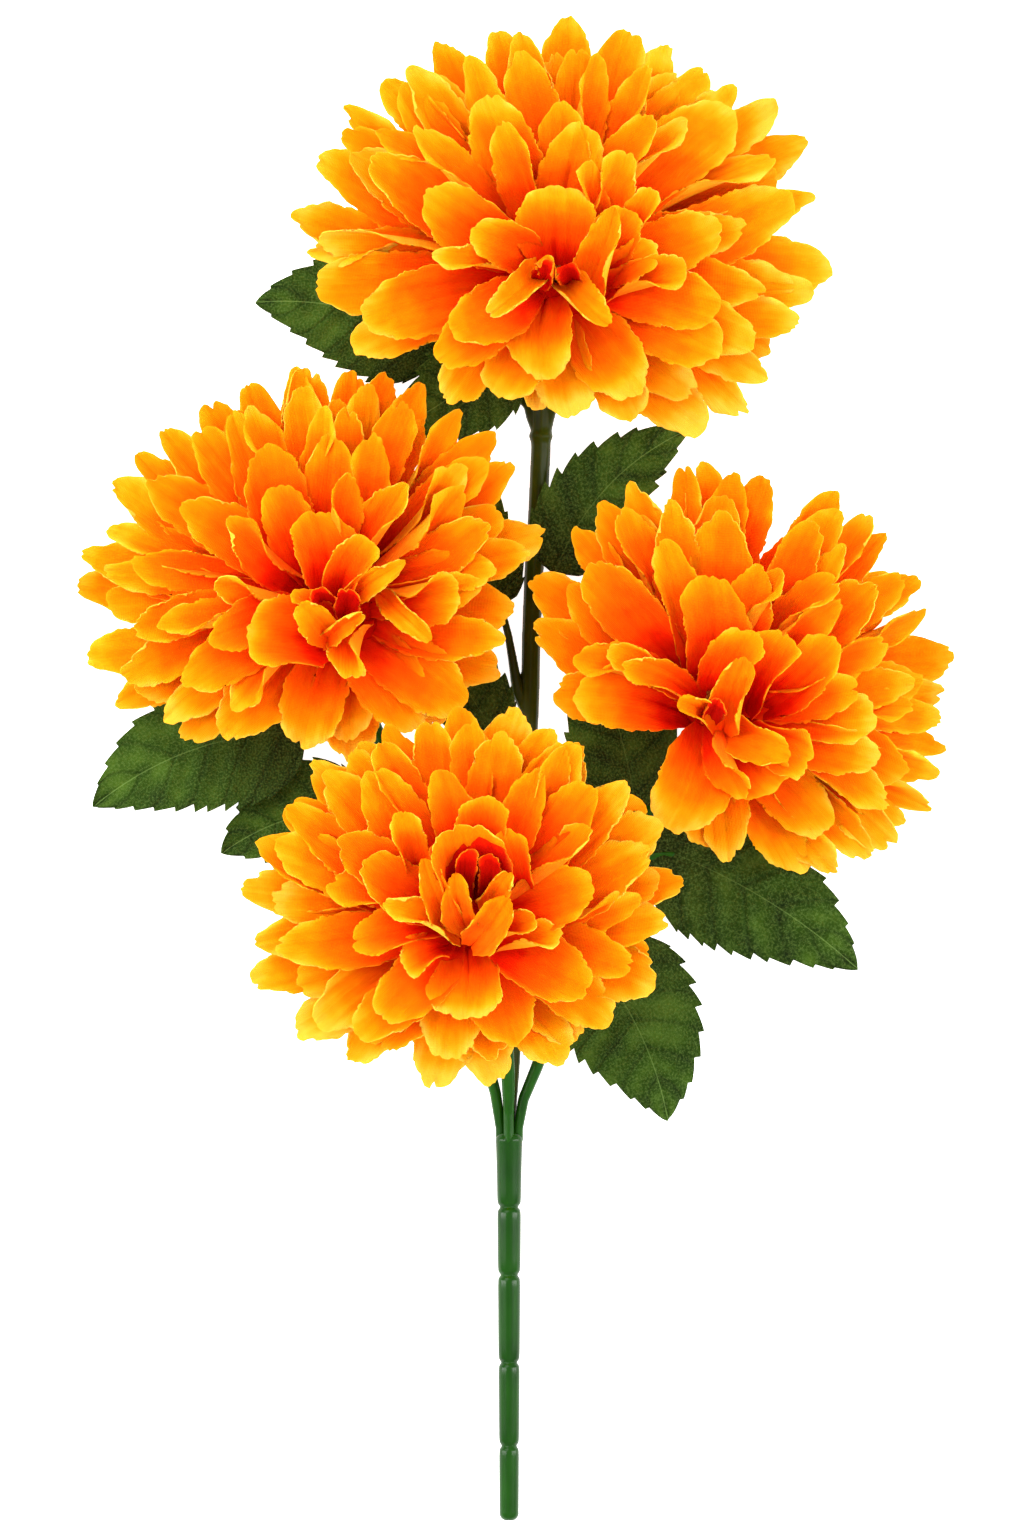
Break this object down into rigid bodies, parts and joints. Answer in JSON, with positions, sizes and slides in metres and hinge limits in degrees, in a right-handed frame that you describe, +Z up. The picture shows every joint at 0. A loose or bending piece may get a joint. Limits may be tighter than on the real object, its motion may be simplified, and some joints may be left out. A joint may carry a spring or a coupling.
{
  "type": "artificial marigold spray",
  "caption": "Artificial marigold spray: orange fabric blooms and toothed green leaves on plastic branch stems that meet in a ribbed handle.",
  "frame": {"origin": "middle of the spray's outline, on the surface that it lies on", "axes": "+Y from the handle to the top bloom, +X to the right, +Z up, out of the blooms' faces"},
  "size_m": [0.212, 0.3602, 0.078],
  "materials": {
    "petals": "matte dyed fabric, orange at the root and yellow at the tip",
    "leaf": "matte woven fabric with pressed veins",
    "stem": "satin olive green",
    "handle": "satin green moulded plastic",
    "calyx": "matte green",
    "button": "matte brown"
  },
  "bodies": {
    "root": {"top_bloom": "petals", "top_calyx": "calyx", "top_button": "button", "left_bloom": "petals", "left_calyx": "calyx", "left_button": "button", "right_bloom": "petals", "right_calyx": "calyx", "right_button": "button", "front_bloom": "petals", "front_calyx": "calyx", "front_button": "button", "top_stem": "stem", "left_stem": "stem", "right_stem": "stem", "front_stem": "stem", "leaf_01": "leaf", "leaf_02": "leaf", "leaf_03": "leaf", "leaf_04": "leaf", "leaf_05": "leaf", "leaf_06": "leaf", "leaf_07": "leaf", "leaf_08": "leaf", "leaf_09": "leaf", "leaf_10": "leaf", "leaf_11": "leaf", "handle": "handle"}
  },
  "joints": []
}
